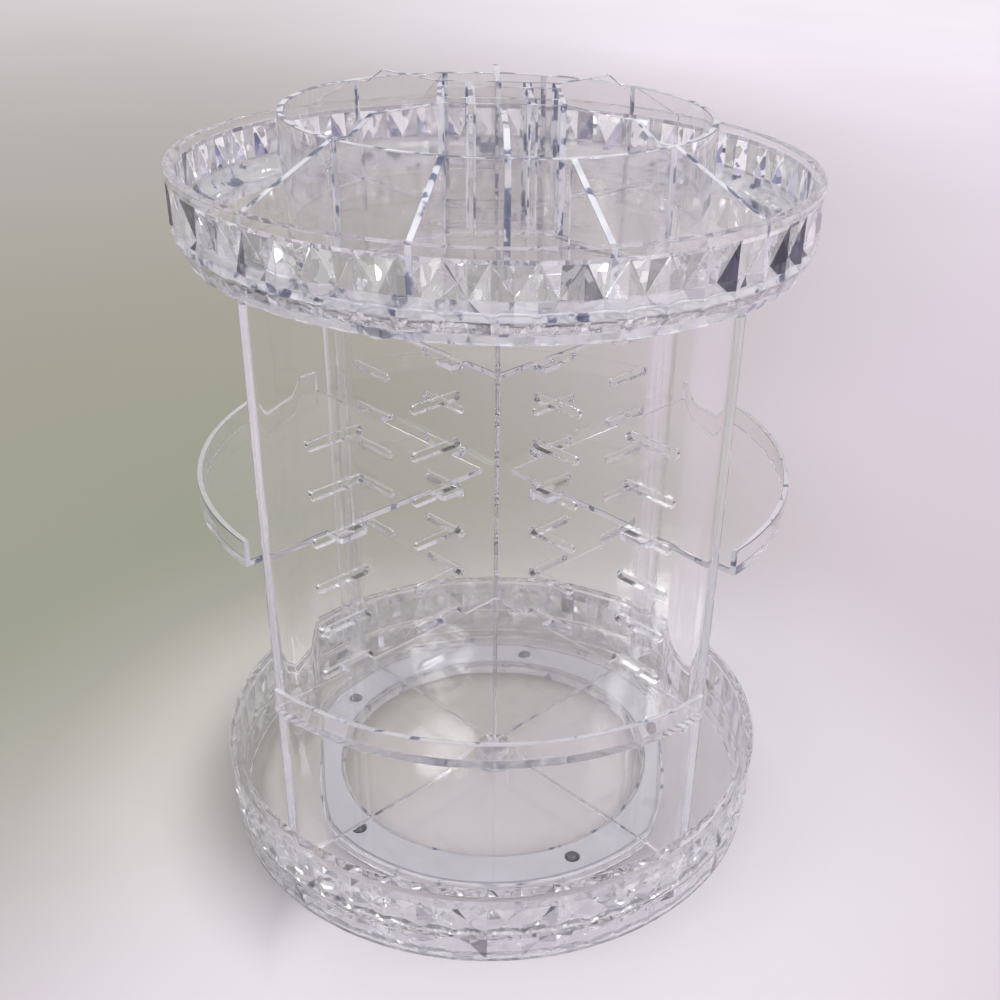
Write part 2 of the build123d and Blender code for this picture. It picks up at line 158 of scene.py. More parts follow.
# Cells of cut facets round a rim, the scatter of their tilt, the splinters in them, and their tones by chance,
# which paint dark and grey reflections onto some facets
FACET_CELLS = 54.0
FACET_SECTORS = 8
FACET_SCATTER = 0.5
FACET_TILT = 0.42
SPLINTER_SCALE = 260.0
SPLINTER_TILT = 0.3
PAINTED_FACET_TONES = (
    (0.0, (0.26, 0.26, 0.29)), (0.05, (0.68, 0.68, 0.70)), (0.18, (0.90, 0.90, 0.91)), (0.38, (1.0, 1.0, 1.0)),
)
# Painted light and dark reflections along narrow edges, and how far those of the insert are shifted to the dark
# ones
PAINTED_EDGE_TONES = (
    (0.0, (0.04, 0.05, 0.10)), (0.36, (0.18, 0.20, 0.31)), (0.41, (0.90, 0.91, 0.97)), (0.56, (1.0, 1.0, 1.0)),
)
STREAK_SHADE = 0.075

# A cut rim in millimetres: the radius that its facets lie outside of, the height under which they end, the
# height of its stars' middles and of a row of them, the heights of its band of painted light, and the share
# of its facets that are painted bright as glints
CutRim = namedtuple("CutRim", "inner end middle row gathering bright_share")
CUT_RIMS = {
    "base_disc": CutRim(113.6, 15.5, 8.5, 14.0, (0.0, 0.0), 0.42),
    "base_tray": CutRim(113.8, 32.9, 19.9, 16.0, (0.0, 0.0), 0.36),
    "top_tray": CutRim(109.0, 278.0, 265.6, 22.0, (259.7, 262.3), 0.24),
}
NO_RIM = CutRim(math.inf, 0.0, 0.0, 15.0, (0.0, 0.0), 0.0)

# Kinds of faces, in the order of a clear piece's materials
WALL, EDGE, CUT, BRIGHT, PANEL_EDGE, DARK = range(6)
# How straight outward a face has to look to be a panel's end, a rim's facet, or the wall of a lip
END_FACING, RIM_FACING, LIP_FACING = 0.5, 0.4, 0.9
# The top tray's left and right, where this share of the facets is painted dark, a painted reflection of the
# dark of the room
SIDE_FROM, SIDE_BACK = 0.62, 0.1
SIDE_DARK_SHARE = 0.22
# Faces narrower than this, in millimetres, are edges
EDGE_FACE = 2.7
# Radius in millimetres outside which a panel's outward faces are its rounded end
PANEL_END_RADIUS = 109.5

# How close points are to be merged, and how close to a cut to lie on it, in metres; faces that meet at less
# than the flat angle are joined
MERGE_DISTANCE = 2e-6
SPLIT_DISTANCE = 1e-6
FLAT_ANGLE = math.radians(0.5)
# Sharp edges of more than this angle are rounded, but not inside this radius in millimetres, round the pivot
ROUNDED_ANGLE = math.radians(50.0)
SHARP_SOCKETS = {"base_disc": 6.0}
# How far edges are rounded, in millimetres, and up to which angle in degrees faces are smooth
EDGE_ROUNDING = 0.35
RIM_ROUNDING = 0.5
LIP_ROUNDING = 0.4
CUT_SMOOTH, PLAIN_SMOOTH, RING_SMOOTH = 6.0, 25.0, 40.0

PANELS = ("panel_front_left", "panel_front_right", "panel_back_left", "panel_back_right")
SHELVES = ("shelf_front", "shelf_left", "shelf_right", "shelf_back")
BALLS = tuple(f"steel_ball_{i}" for i in range(1, 6))
PIVOT = ("pivot_screw", "pivot_washer")
INNER_DIVIDERS = tuple(f"inner_divider_{i}" for i in range(1, 7))
OUTER_DIVIDERS = tuple(f"outer_divider_{i}" for i in range(1, 9))
DIVIDERS = ("brush_holder",) + INNER_DIVIDERS + OUTER_DIVIDERS


def new_group(name, inputs, outputs):
    """An empty shader node group with the named sockets; sockets are (name, type, default)."""
    group = bpy.data.node_groups.new(name, "ShaderNodeTree")
    for socket_name, kind, default in inputs:
        socket = group.interface.new_socket(socket_name, in_out="INPUT", socket_type=kind)
        if default is not None:
            socket.default_value = default
    for socket_name, kind in outputs:
        group.interface.new_socket(socket_name, in_out="OUTPUT", socket_type=kind)
    return group


def add_node(tree, kind, x, y, **settings):
    """A new node at a place in the tree, with its settings."""
    node = tree.nodes.new(kind)
    node.location = (x, y)
    for name, value in settings.items():
        setattr(node, name, value)
    return node


def colour_ramp(tree, x, y, stops):
    """Ramp through (position, colour) stops."""
    node = add_node(tree, "ShaderNodeValToRGB", x, y)
    ramp = node.color_ramp
    while len(ramp.elements) < len(stops):
        ramp.elements.new(0.5)
    for element, (position, colour) in zip(ramp.elements, stops):
        element.position = position
        element.color = (*colour, 1.0)
    return node


def fill_socket(tree, socket, value):
    """Link a socket, or set it to a plain value."""
    if isinstance(value, bpy.types.NodeSocket):
        tree.links.new(value, socket)
    else:
        socket.default_value = value


def math_node(tree, x, y, operation, *values):
    """Math node whose inputs are sockets or plain numbers."""
    node = add_node(tree, "ShaderNodeMath", x, y, operation=operation)
    for socket, value in zip(node.inputs, values):
        fill_socket(tree, socket, value)
    return node.outputs[0]


def vector_node(tree, x, y, operation, *values):
    """Vector Math node whose inputs are sockets or plain vectors."""
    node = add_node(tree, "ShaderNodeVectorMath", x, y, operation=operation)
    for socket, value in zip(node.inputs, values):
        fill_socket(tree, socket, value)
    return node.outputs[0]


def mix_colours(tree, x, y, share, first, second):
    """The first colour where the share is 0 and the second where it is 1."""
    node = add_node(tree, "ShaderNodeMix", x, y, data_type="RGBA")
    fill_socket(tree, node.inputs["Factor"], share)
    fill_socket(tree, node.inputs[6], first)
    fill_socket(tree, node.inputs[7], second)
    return node.outputs[2]


def blend(tree, x, y, value, start, end, low=0.0, high=1.0):
    """Smooth step from low to high while the value goes from start to end."""
    node = add_node(tree, "ShaderNodeMapRange", x, y, interpolation_type="SMOOTHSTEP")
    inputs = {"Value": value, "From Min": start, "From Max": end, "To Min": low, "To Max": high}
    for name, number in inputs.items():
        fill_socket(tree, node.inputs[name], number)
    return node.outputs["Result"]


def straight_view(tree, x, y):
    """1 for the camera's rays, also when they have gone straight through clear plastic, and 0 for others."""
    rays = add_node(tree, "ShaderNodeLightPath", x, y)
    direct = math_node(tree, x + 150, y - 150, "LESS_THAN", rays.outputs["Glossy Depth"], 0.5)
    through = math_node(tree, x + 300, y - 150, "MULTIPLY", rays.outputs["Is Transmission Ray"], direct)
    return math_node(tree, x + 450, y, "MAXIMUM", rays.outputs["Is Camera Ray"], through)


def moulded_surface_group():
    """Moulded plastic: slow waves of the surface, hairline scratches and smudges left by fingers."""
    name = "moulded_surface"
    if name in bpy.data.node_groups:
        return bpy.data.node_groups[name]
    group = new_group(
        name,
        [
            ("Wave Scale", "NodeSocketFloat", 60.0),
            ("Smudge Scale", "NodeSocketFloat", 35.0),
            ("Scratch Scale", "NodeSocketFloat", 900.0),
            ("Polish", "NodeSocketFloat", 0.015),
            ("Dulling", "NodeSocketFloat", 0.06),
        ],
        [("Roughness", "NodeSocketFloat"), ("Height", "NodeSocketFloat")],
    )
    start = add_node(group, "NodeGroupInput", -900, 0)
    end = add_node(group, "NodeGroupOutput", 700, 0)
    link = group.links.new
    place = add_node(group, "ShaderNodeTexCoord", -900, -300)
    stretch = add_node(group, "ShaderNodeMapping", -700, -400)
    stretch.inputs["Rotation"].default_value = (0.4, 0.7, 0.2)
    stretch.inputs["Scale"].default_value = (1.0, 0.06, 0.06)
    link(place.outputs["Object"], stretch.inputs["Vector"])
    patterns = {}
    for kind, y, detail in (("Wave", 300, 1.0), ("Smudge", 0, 3.0), ("Scratch", -400, 1.0)):
        noise = add_node(group, "ShaderNodeTexNoise", -500, y)
        noise.inputs["Detail"].default_value = detail
        source = stretch.outputs["Vector"] if kind == "Scratch" else place.outputs["Object"]
        link(source, noise.inputs["Vector"])
        link(start.outputs[f"{kind} Scale"], noise.inputs["Scale"])
        patterns[kind] = noise.outputs["Fac"]
    smudges = blend(group, -250, 0, patterns["Smudge"], 0.5, 0.75)
    scratches = blend(group, -250, -400, patterns["Scratch"], 0.64, 0.74)
    both = math_node(group, 0, -150, "MAXIMUM", smudges, scratches)
    dulling, polish = start.outputs["Dulling"], start.outputs["Polish"]
    dulled = math_node(group, 200, -100, "MULTIPLY_ADD", both, dulling, polish)
    link(dulled, end.inputs["Roughness"])
    link(patterns["Wave"], end.inputs["Height"])
    return group


def material_start(name):
    """A new material, its node tree, its Principled shader and its output."""
    material = bpy.data.materials.new(name)
    material.use_nodes = True
    tree = material.node_tree
    out = tree.nodes["Material Output"]
    out.location = (700, 0)
    return material, tree, tree.nodes["Principled BSDF"], out


def facet_cells(group, angle, height, start):
    """Column, row and sector of the star that a point of the rim lies in, and the sector alone."""
    turns = math_node(group, -1150, 0, "MULTIPLY", angle, 0.5 / math.pi)
    along = math_node(group, -1000, 0, "MULTIPLY", turns, start.outputs["Count"])
    column = math_node(group, -850, 100, "ROUND", along)
    across = math_node(group, -700, 0, "SUBTRACT", along, column)
    height = math_node(group, -1300, -300, "SUBTRACT", height, start.outputs["Row Start"])
    rows = math_node(group, -1150, -300, "DIVIDE", height, start.outputs["Row Height"])
    row = math_node(group, -850, -200, "FLOOR", rows)
    upward = math_node(group, -700, -300, "SUBTRACT", rows, row)
    upward = math_node(group, -550, -300, "SUBTRACT", upward, 0.5)
    half = FACET_SECTORS / 2
    sector = math_node(group, -400, -150, "ARCTAN2", upward, across)
    sector = math_node(group, -250, -150, "MULTIPLY_ADD", sector, half / math.pi, half)
    sector = math_node(group, -100, -150, "FLOOR", sector)
    cell = add_node(group, "ShaderNodeCombineXYZ", 50, 0)
    for socket, value in zip(cell.inputs, (column, row, sector)):
        group.links.new(value, socket)
    return cell.outputs[0], sector


def facet_lean(group, angle, sector):
    """Direction in which a sector's facet leans: away from its star's middle, along the rim."""
    wedge = 2.0 * math.pi / FACET_SECTORS
    heading = math_node(group, 50, -500, "MULTIPLY_ADD", sector, wedge, wedge / 2 - math.pi)
    sideways = math_node(group, 200, -500, "COSINE", heading)
    lift = math_node(group, 200, -650, "SINE", heading)
    tangent_x = math_node(group, 50, -800, "SINE", angle)
    tangent_x = math_node(group, 200, -800, "MULTIPLY", tangent_x, -1.0)
    tangent_y = math_node(group, 200, -950, "COSINE", angle)
    lean = add_node(group, "ShaderNodeCombineXYZ", 500, -600)
    group.links.new(math_node(group, 350, -800, "MULTIPLY", tangent_x, sideways), lean.inputs[0])
    group.links.new(math_node(group, 350, -950, "MULTIPLY", tangent_y, sideways), lean.inputs[1])
    group.links.new(lift, lean.inputs[2])
    return lean.outputs[0]


def cut_facets_group():
    """Cut facets: sectors round the middle of each cell of the rim, each with its own tilt and a tone by
    chance, which paints a dark or grey reflection on it.
    """
    name = "cut_facets"
    if name in bpy.data.node_groups:
        return bpy.data.node_groups[name]
    group = new_group(
        name,
        [
            ("Count", "NodeSocketFloat", FACET_CELLS),
            ("Row Height", "NodeSocketFloat", NO_RIM.row * MM),
            ("Row Start", "NodeSocketFloat", 0.0),
            ("Tilt", "NodeSocketFloat", FACET_TILT),
        ],
        [("Tone", "NodeSocketColor"), ("Normal", "NodeSocketVector")],
    )
    start = add_node(group, "NodeGroupInput", -1700, 0)
    end = add_node(group, "NodeGroupOutput", 900, 0)
    link = group.links.new
    place = add_node(group, "ShaderNodeTexCoord", -1700, -400)
    parts = add_node(group, "ShaderNodeSeparateXYZ", -1500, -300)
    link(place.outputs["Object"], parts.inputs[0])
    angle = math_node(group, -1300, 0, "ARCTAN2", parts.outputs["Y"], parts.outputs["X"])
    cell, sector = facet_cells(group, angle, parts.outputs["Z"], start)
    chance = add_node(group, "ShaderNodeTexWhiteNoise", 200, 0, noise_dimensions="3D")
    link(cell, chance.inputs["Vector"])
    tone = colour_ramp(group, 400, 200, PAINTED_FACET_TONES)
    tone.color_ramp.interpolation = "CONSTANT"
    link(chance.outputs["Value"], tone.inputs["Fac"])
    link(tone.outputs["Color"], end.inputs["Tone"])
    lean = facet_lean(group, angle, sector)
    lean = vector_node(group, 350, -200, "MULTIPLY_ADD", chance.outputs["Color"], (FACET_SCATTER,) * 3, lean)
    tilted = add_node(group, "ShaderNodeVectorMath", 500, -200, operation="SCALE")
    link(lean, tilted.inputs[0])
    link(start.outputs["Tilt"], tilted.inputs["Scale"])
    splinter = add_node(group, "ShaderNodeTexVoronoi", 200, -1200)
    splinter.inputs["Scale"].default_value = SPLINTER_SCALE
    link(place.outputs["Object"], splinter.inputs["Vector"])
    spread, centre = (SPLINTER_TILT,) * 3, (-0.5 * SPLINTER_TILT,) * 3
    broken = vector_node(group, 400, -1200, "MULTIPLY_ADD", splinter.outputs["Color"], spread, centre)
    rough = vector_node(group, 600, -500, "ADD", tilted.outputs[0], broken)
    summed = vector_node(group, 600, -300, "ADD", place.outputs["Normal"], rough)
    normal = add_node(
        group, "ShaderNodeVectorTransform", 700, -300,
        vector_type="NORMAL", convert_from="OBJECT", convert_to="WORLD")
    link(summed, normal.inputs[0])
    link(normal.outputs[0], end.inputs["Normal"])
    return group


def edge_light_group():
    """Painted light and shade along narrow edges: bright stretches with short dark ones between them."""
    name = "edge_light"
    if name in bpy.data.node_groups:
        return bpy.data.node_groups[name]
    group = new_group(
        name,
        [("Scale", "NodeSocketFloat", 140.0), ("Shade", "NodeSocketFloat", 0.0)],
        [("Colour", "NodeSocketColor")],
    )
    start = add_node(group, "NodeGroupInput", -600, 0)
    end = add_node(group, "NodeGroupOutput", 300, 0)
    link = group.links.new
    place = add_node(group, "ShaderNodeTexCoord", -600, -200)
    stretch = add_node(group, "ShaderNodeTexNoise", -300, 0)
    stretch.inputs["Detail"].default_value = 3.0
    tone = colour_ramp(group, 0, 0, PAINTED_EDGE_TONES)
    link(place.outputs["Object"], stretch.inputs["Vector"])
    link(start.outputs["Scale"], stretch.inputs["Scale"])
    shaded = math_node(group, -150, 0, "SUBTRACT", stretch.outputs["Fac"], start.outputs["Shade"])
    link(shaded, tone.inputs["Fac"])
    link(tone.outputs["Color"], end.inputs["Colour"])
    return group


def clear_surface(tree, shader, settings, kind, rim):
    """Roughness, waves, and for cut, bright, edge and streaked faces their facets with painted reflections, or
    painted light along the edges.
    """
    link = tree.links.new
    surface = add_node(tree, "ShaderNodeGroup", -600, 0)
    surface.node_tree = moulded_surface_group()
    surface.inputs["Polish"].default_value = settings.polish
    surface.inputs["Dulling"].default_value = settings.dulling
    bump = add_node(tree, "ShaderNodeBump", -300, -200)
    bump.inputs["Strength"].default_value = settings.wave
    bump.inputs["Distance"].default_value = BUMP_DEPTH
    link(surface.outputs["Roughness"], shader.inputs["Roughness"])
    link(surface.outputs["Height"], bump.inputs["Height"])
    link(bump.outputs["Normal"], shader.inputs["Normal"])
    if kind in ("cut", "bright"):
        facets = add_node(tree, "ShaderNodeGroup", -700, -400)
        facets.node_tree = cut_facets_group()
        facets.inputs["Row Height"].default_value = rim.row * MM
        facets.inputs["Row Start"].default_value = (rim.middle - rim.row / 2) * MM
        link(facets.outputs["Normal"], bump.inputs["Normal"])
        if kind == "cut":
            # Painted reflections: the facets' tones darken the colour of some facets
            link(facets.outputs["Tone"], shader.inputs["Base Color"])
    if kind in ("edge", "streaked"):
        gathered = add_node(tree, "ShaderNodeGroup", -700, -400)
        gathered.node_tree = edge_light_group()
        gathered.inputs["Shade"].default_value = STREAK_SHADE if kind == "streaked" else 0.0
        link(gathered.outputs["Colour"], shader.inputs["Base Color"])


def clear_plastic(name, colour=(1.0, 1.0, 1.0), clearness=1.0, kind="plain", rim=NO_RIM):
    """Clear moulded plastic whose edges gather a faint colour, and which lets lamps through."""
    if name in bpy.data.materials:
        return bpy.data.materials[name]
    settings = finish_settings()
    material, tree, shader, out = material_start(name)
    link = tree.links.new
    shader.inputs["Base Color"].default_value = (*colour, 1.0)
    shader.inputs["Transmission Weight"].default_value = clearness
    shader.inputs["IOR"].default_value = PLASTIC_IOR
    clear_surface(tree, shader, settings, kind, rim)
    tint = add_node(tree, "ShaderNodeVolumeAbsorption", 300, -300)
    tint.inputs["Color"].default_value = (*settings.edge_colour, 1.0)
    tint.inputs["Density"].default_value = settings.edge_depth
    link(tint.outputs["Volume"], out.inputs["Volume"])
    passing = add_node(tree, "ShaderNodeBsdfTransparent", 0, 300)
    passing.inputs["Color"].default_value = (*settings.passed, 1.0)
    rays = add_node(tree, "ShaderNodeLightPath", 0, 700)
    for_diffuse = add_node(tree, "ShaderNodeMixShader", 300, 100)
    for_lamps = add_node(tree, "ShaderNodeMixShader", 500, 100)
    link(rays.outputs["Is Diffuse Ray"], for_diffuse.inputs["Fac"])
    link(shader.outputs["BSDF"], for_diffuse.inputs[1])
    link(passing.outputs["BSDF"], for_diffuse.inputs[2])
    link(rays.outputs["Is Shadow Ray"], for_lamps.inputs["Fac"])
    link(for_diffuse.outputs["Shader"], for_lamps.inputs[1])
    link(passing.outputs["BSDF"], for_lamps.inputs[2])
    link(for_lamps.outputs["Shader"], out.inputs["Surface"])
    return material


def frosted_plastic(name, colour):
    """Grey frosted plastic of the ball cage, cloudy and with a fine grain."""
    if name in bpy.data.materials:
        return bpy.data.materials[name]
    material, tree, shader, _ = material_start(name)
    link = tree.links.new
    place = add_node(tree, "ShaderNodeTexCoord", -900, 0)
    grain = add_node(tree, "ShaderNodeTexNoise", -600, -200)
    grain.inputs["Scale"].default_value = 1400.0
    cloud = add_node(tree, "ShaderNodeTexNoise", -600, 200)
    cloud.inputs["Scale"].default_value = 40.0
    darker = tuple(part * 0.9 for part in colour)
    lighter = tuple(min(1.0, part * 1.08) for part in colour)
    shade = colour_ramp(tree, -350, 200, ((0.0, darker), (1.0, lighter)))
    bump = add_node(tree, "ShaderNodeBump", -300, -200)
    bump.inputs["Strength"].default_value = 0.15
    bump.inputs["Distance"].default_value = 0.0001
    link(place.outputs["Object"], grain.inputs["Vector"])
    link(place.outputs["Object"], cloud.inputs["Vector"])
    link(cloud.outputs["Fac"], shade.inputs["Fac"])
    link(shade.outputs["Color"], shader.inputs["Base Color"])
    link(grain.outputs["Fac"], bump.inputs["Height"])
    link(bump.outputs["Normal"], shader.inputs["Normal"])
    shader.inputs["Roughness"].default_value = 0.5
    return material


def polished_metal(name, colour, roughness, grain_scale):
    """Bare steel with a faint grain in its polish."""
    if name in bpy.data.materials:
        return bpy.data.materials[name]
    material, tree, shader, _ = material_start(name)
    link = tree.links.new
    shader.inputs["Metallic"].default_value = 1.0
    shader.inputs["Base Color"].default_value = (*colour, 1.0)
    place = add_node(tree, "ShaderNodeTexCoord", -900, 0)
    grain = add_node(tree, "ShaderNodeTexNoise", -600, 0)
    grain.inputs["Scale"].default_value = grain_scale
    spread = add_node(tree, "ShaderNodeMapRange", -300, 0)
    spread.inputs["To Min"].default_value = roughness * 0.7
    spread.inputs["To Max"].default_value = roughness * 1.4
    link(place.outputs["Object"], grain.inputs["Vector"])
    link(grain.outputs["Fac"], spread.inputs["Value"])
    link(spread.outputs["Result"], shader.inputs["Roughness"])
    return material


def only(*objects):
    """Select these objects and nothing else, with the last one active."""
    for other in bpy.context.view_layer.objects:
        other.select_set(False)
    for item in objects:
        item.select_set(True)
        bpy.context.view_layer.objects.active = item


def set_material(item, material):
    """Give an object this one material."""
    item.data.materials.clear()
    item.data.materials.append(material)


def face_width(mesh, face):
    """Width of a long face, in millimetres: twice its area over its outline."""
    outline = sum((mesh.vertices[a].co - mesh.vertices[b].co).length for a, b in face.edge_keys)
    return 2.0 * face.area / outline / MM


def sort_faces(node_name, mesh):
    """Give each face the material of its kind."""
    chance = random.Random(node_name)
    rim = CUT_RIMS.get(node_name, NO_RIM)
    low, high = rim.gathering
    for face in mesh.polygons:
        spot = face.center / MM
        radius = math.hypot(spot.x, spot.y)
        outward = Vector((spot.x, spot.y, 0.0)).normalized()
        tangent = Vector((-outward.y, outward.x, 0.0))
        facing = face.normal.dot(outward)
        if node_name in PANELS:
            # Panel ends take the bright material, painted light along them
            at_end = facing > END_FACING and radius > PANEL_END_RADIUS
            along = abs(face.normal.dot(tangent)) < END_FACING
            face.material_index = BRIGHT if at_end else PANEL_EDGE if along else WALL
        elif radius > rim.inner and spot.z < rim.end and facing > RIM_FACING:
            # A share of the rim's facets is painted bright as glints, some at the top tray's sides painted dark
            # as reflections, and the band between low and high painted light
            draw = chance.random()
            bright = rim.bright_share if spot.z > low else 0.0
            at_side = node_name == "top_tray" and abs(outward.x) > SIDE_FROM and outward.y < SIDE_BACK
            dark = SIDE_DARK_SHARE if bright and at_side else 0.0
            face.material_index = BRIGHT if draw < bright else DARK if draw < bright + dark else CUT
            if low < spot.z < high:
                face.material_index = EDGE
        elif facing > LIP_FACING and rim is not NO_RIM:
            face.material_index = WALL
        elif face_width(mesh, face) < EDGE_FACE:
            face.material_index = EDGE


def split_at(mesh, height):
    """Split the faces at one height in millimetres, without changing the shape."""
    work = bmesh.new()
    work.from_mesh(mesh)
    parts = work.verts[:] + work.edges[:] + work.faces[:]
    level = (0.0, 0.0, height * MM)
    bmesh.ops.bisect_plane(work, geom=parts, dist=SPLIT_DISTANCE, plane_co=level, plane_no=(0.0, 0.0, 1.0))
    work.to_mesh(mesh)
    work.free()


def mark_edges(mesh, inside):
    """Mark the edges to round: the sharp ones, apart from those inside a radius in millimetres."""
    work = bmesh.new()
    work.from_mesh(mesh)
    weight = work.edges.layers.float.new("bevel_weight_edge")
    for edge in work.edges:
        near_axis = all(vertex.co.xy.length < inside * MM for vertex in edge.verts)
        edge[weight] = 0.0 if near_axis or edge.calc_face_angle(0.0) < ROUNDED_ANGLE else 1.0
    work.to_mesh(mesh)
    work.free()


def polished_copy(node_name, rounding, smooth_angle):
    """A smooth-shaded copy of a clear node with rounded edges, which takes the node's place."""
    node = frame["nodes"][node_name]
    piece = bpy.data.objects.new(f"{node_name}_polished", node.data.copy())
    bpy.context.scene.collection.objects.link(piece)
    only(piece)
    bpy.ops.mesh.customdata_custom_splitnormals_clear()
    bpy.ops.object.mode_set(mode="EDIT")
    bpy.ops.mesh.select_all(action="SELECT")
    bpy.ops.mesh.remove_doubles(threshold=MERGE_DISTANCE)
    bpy.ops.mesh.dissolve_limited(angle_limit=FLAT_ANGLE)
    bpy.ops.object.mode_set(mode="OBJECT")
    if node_name == "top_tray":
        split_at(piece.data, CUT_RIMS[node_name].gathering[1])
    piece.data.materials.clear()
    for material in organizer_materials(node_name):
        piece.data.materials.append(material)
    sort_faces(node_name, piece.data)
    mark_edges(piece.data, SHARP_SOCKETS.get(node_name, 0.0))
    bevel = piece.modifiers.new("rounded_edges", "BEVEL")
    bevel.width = rounding * MM
    bevel.segments = 2
    bevel.limit_method = "WEIGHT"
    bpy.ops.object.modifier_apply(modifier=bevel.name)
    bpy.ops.object.shade_smooth_by_angle(angle=math.radians(smooth_angle))
    flatten = piece.modifiers.new("flat_faces", "WEIGHTED_NORMAL")
    flatten.weight = 100
    flatten.keep_sharp = True
    bpy.ops.object.modifier_apply(modifier=flatten.name)
    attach(piece, node["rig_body"])
    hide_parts(node_name)
    return piece


class OrganizerFinish(bpy.types.PropertyGroup):
    wall_colour: bpy.props.FloatVectorProperty(
        name="Wall Colour", description="Colour of light that passes through a clear wall", subtype="COLOR",
        size=3, min=0.0, max=1.0, default=(0.985, 0.98, 0.98))
    edge_colour: bpy.props.FloatVectorProperty(
        name="Edge Colour", description="Colour that thick clear plastic takes on", subtype="COLOR",
        size=3, min=0.0, max=1.0, default=(0.94, 0.94, 0.965))
    passed: bpy.props.FloatVectorProperty(
        name="Passed Light", description="Share of a lamp's light that goes through each clear face",
        subtype="COLOR", size=3, min=0.0, max=1.0, default=(0.952, 0.950, 0.945))
    edge_depth: bpy.props.FloatProperty(
        name="Edge Depth", description="How fast clear plastic takes on its edge colour", default=4.0, min=0.0)
    polish: bpy.props.FloatProperty(
        name="Polish", description="Roughness of clean clear plastic", subtype="FACTOR",
        default=0.012, min=0.0, max=1.0)
    dulling: bpy.props.FloatProperty(
        name="Dulling", description="Roughness that smudges and hairlines add", subtype="FACTOR",
        default=0.05, min=0.0, max=1.0)
    wave: bpy.props.FloatProperty(
        name="Wave", description="Strength of the slow waves of moulded plastic", subtype="FACTOR",
        default=0.1, min=0.0, max=1.0)
    cage_colour: bpy.props.FloatVectorProperty(
        name="Cage Colour", description="Colour of the frosted ball cage", subtype="COLOR",
        size=3, min=0.0, max=1.0, default=(0.55, 0.54, 0.6))
    ball_colour: bpy.props.FloatVectorProperty(
        name="Ball Colour", description="Colour of the steel balls", subtype="COLOR",
        size=3, min=0.0, max=1.0, default=(0.13, 0.13, 0.15))
    plating_colour: bpy.props.FloatVectorProperty(
        name="Plating Colour", description="Colour of the pivot's plated screw and washer", subtype="COLOR",
        size=3, min=0.0, max=1.0, default=(0.55, 0.55, 0.57))


class OrganizerStage(bpy.types.PropertyGroup):
    key_power: bpy.props.FloatProperty(
        name="Key Light", description="Power of the large soft lamp", default=5.6, min=0.0, unit="POWER")
    fill_power: bpy.props.FloatProperty(
        name="Fill Light", description="Power of the opposite soft lamp", default=2.2, min=0.0, unit="POWER")
    spark_power: bpy.props.FloatProperty(
        name="Spark Light", description="Power of each small lamp that the facets catch", default=1.25, min=0.0,
        unit="POWER")
    lens: bpy.props.FloatProperty(
        name="Lens", description="Focal length of the camera on a 36 mm sensor", default=45.16, min=1.0,
        unit="CAMERA")


def finish_settings():
    """Settings of the organizer's materials."""
    return bpy.context.scene.organizer_finish


def organizer_materials(node_name):
    """Materials of a clear piece: wall, edge with painted light, cut facet with painted reflections, bright
    facet with painted glints, panel edge and dark facet with a painted dark reflection.
    """
    rim = CUT_RIMS.get(node_name, NO_RIM)
    suffix = "" if rim is NO_RIM else f"_{node_name}"
    # Narrow edges get painted light with dark streaks, darker on the insert
    if node_name == "divider_ring" or node_name in DIVIDERS:
        edge_name, edge_clearness, edge_kind = "streaked_edge_plastic", STREAKED_CLEARNESS, "streaked"
    else:
        edge_name, edge_clearness, edge_kind = "bright_edge_plastic", EDGE_CLEARNESS, "edge"
    cut_clearness = CUT_CLEARNESS.get(node_name, OTHER_CUT_CLEARNESS)
    bright_kind = "plain" if rim is NO_RIM else "bright"
    return (
        clear_plastic("water_clear_plastic", colour=tuple(finish_settings().wall_colour)),
        clear_plastic(edge_name, clearness=edge_clearness, kind=edge_kind),
        clear_plastic(f"cut_facet_plastic{suffix}", clearness=cut_clearness, kind="cut", rim=rim),
        clear_plastic(f"bright_facet_plastic{suffix}", clearness=BRIGHT_CLEARNESS, kind=bright_kind, rim=rim),
        clear_plastic("soft_edge_plastic", clearness=PANEL_EDGE_CLEARNESS),
        clear_plastic("dark_facet_plastic", colour=PAINTED_DARK_REFLECTION),
    )


def clear_pieces(names, rounding, smooth_angle=PLAIN_SMOOTH):
    """Polished copies of the clear nodes, in the clear materials."""
    for name in names:
        piece = polished_copy(name, rounding, smooth_angle)


class ORGANIZER_OT_base(bpy.types.Operator):
    """Finish the fixed base disc"""
    bl_idname = "organizer.base"
    bl_label = "Base Disc"

    def execute(self, context):
        clear_pieces(("base_disc",), LIP_ROUNDING, CUT_SMOOTH)
        return {"FINISHED"}


class ORGANIZER_OT_bearing(bpy.types.Operator):
    """Finish the ball cage, the steel balls and the pivot's screw and washer"""
    bl_idname = "organizer.bearing"
    bl_label = "Ball Bearing"

    def execute(self, context):
        settings = finish_settings()
        frosted = frosted_plastic("frosted_cage_plastic", tuple(settings.cage_colour))
        chrome = polished_metal("polished_ball_steel", tuple(settings.ball_colour), 0.07, 300.0)
        plated = polished_metal("zinc_plated_steel", tuple(settings.plating_colour), 0.25, 900.0)
        for names, material in ((("ball_cage",), frosted), (BALLS, chrome), (PIVOT, plated)):
            for name in names:
                set_material(frame["nodes"][name], material)
        return {"FINISHED"}


class ORGANIZER_OT_turning_tray(bpy.types.Operator):
    """Finish the turning tray with its faceted rim"""
    bl_idname = "organizer.turning_tray"
    bl_label = "Turning Tray"

    def execute(self, context):
        clear_pieces(("base_tray",), LIP_ROUNDING, CUT_SMOOTH)
        return {"FINISHED"}


class ORGANIZER_OT_panels(bpy.types.Operator):
    """Finish the four slotted panels"""
    bl_idname = "organizer.panels"
    bl_label = "Slotted Panels"

    def execute(self, context):
        clear_pieces(PANELS, EDGE_ROUNDING)
        return {"FINISHED"}


